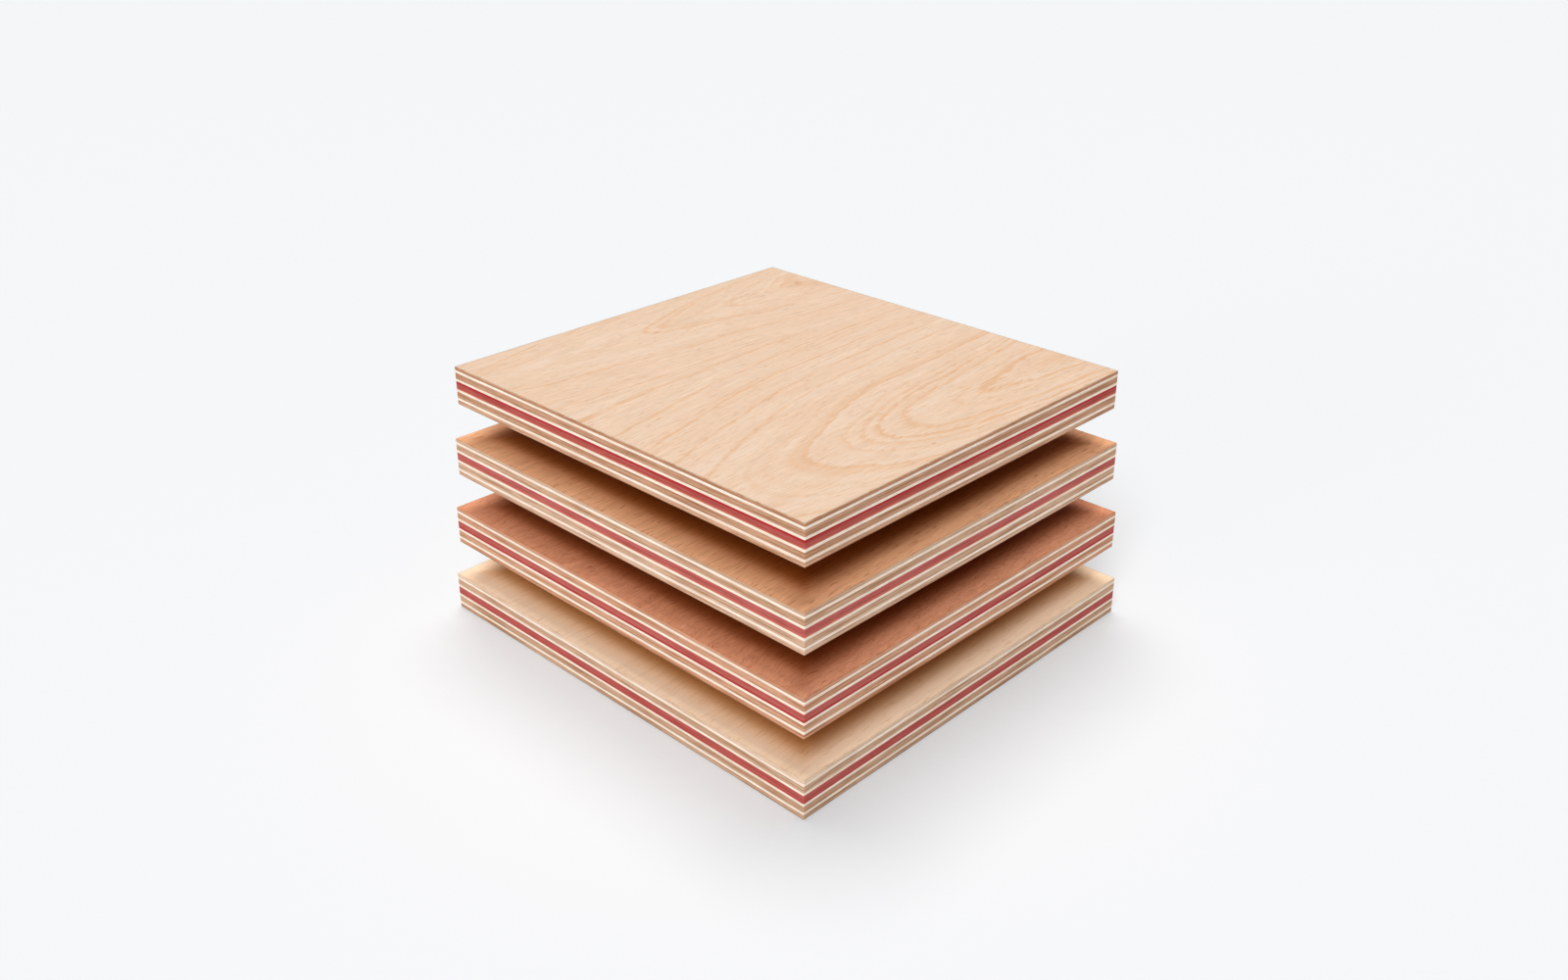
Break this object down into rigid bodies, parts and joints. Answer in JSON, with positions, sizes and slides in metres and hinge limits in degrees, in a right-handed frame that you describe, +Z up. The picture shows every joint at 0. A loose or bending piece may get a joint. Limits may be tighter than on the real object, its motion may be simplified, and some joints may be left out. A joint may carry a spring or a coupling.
{
  "type": "plywood sheet stack",
  "caption": "Stack of nearly square plywood sheets with veneered faces of different woods, held apart by plain wooden stickers so that each sheet's layered edge shows.",
  "frame": {"origin": "middle of the underside of the bottom sheet", "axes": "+Z up through the stack, +X along the longer side of the sheets, +Y along the shorter side"},
  "size_m": [0.226, 0.213, 0.123],
  "materials": {
    "pale_beech_face": "sanded, unfinished pale beech veneer with a cathedral figure",
    "golden_face": "sanded, unfinished golden-brown veneer",
    "red_brown_face": "sanded, unfinished red-brown veneer",
    "birch_face": "sanded, unfinished pale birch veneer",
    "crossband_veneer": "sawn edge of thin cream veneer",
    "inner_veneer": "sawn edge of tan veneer",
    "core_veneer": "sawn edge of red veneer",
    "back_veneer": "light brown veneer, sanded",
    "sticker": "sawn softwood"
  },
  "bodies": {
    "root": {"sheet_1_back": "back_veneer", "sheet_1_crossband_1": "crossband_veneer", "sheet_1_inner_lower": "inner_veneer", "sheet_1_crossband_2": "crossband_veneer", "sheet_1_core": "core_veneer", "sheet_1_crossband_3": "crossband_veneer", "sheet_1_inner_upper": "inner_veneer", "sheet_1_crossband_4": "crossband_veneer", "sheet_1_face": "birch_face", "sheet_2_back": "back_veneer", "sheet_2_crossband_1": "crossband_veneer", "sheet_2_inner_lower": "inner_veneer", "sheet_2_crossband_2": "crossband_veneer", "sheet_2_core": "core_veneer", "sheet_2_crossband_3": "crossband_veneer", "sheet_2_inner_upper": "inner_veneer", "sheet_2_crossband_4": "crossband_veneer", "sheet_2_face": "red_brown_face", "sheet_3_back": "back_veneer", "sheet_3_crossband_1": "crossband_veneer", "sheet_3_inner_lower": "inner_veneer", "sheet_3_crossband_2": "crossband_veneer", "sheet_3_core": "core_veneer", "sheet_3_crossband_3": "crossband_veneer", "sheet_3_inner_upper": "inner_veneer", "sheet_3_crossband_4": "crossband_veneer", "sheet_3_face": "golden_face", "sheet_4_back": "back_veneer", "sheet_4_crossband_1": "crossband_veneer", "sheet_4_inner_lower": "inner_veneer", "sheet_4_crossband_2": "crossband_veneer", "sheet_4_core": "core_veneer", "sheet_4_crossband_3": "crossband_veneer", "sheet_4_inner_upper": "inner_veneer", "sheet_4_crossband_4": "crossband_veneer", "sheet_4_face": "pale_beech_face", "sticker_1_front": "sticker", "sticker_1_rear": "sticker", "sticker_2_front": "sticker", "sticker_2_rear": "sticker", "sticker_3_front": "sticker", "sticker_3_rear": "sticker"}
  },
  "joints": []
}
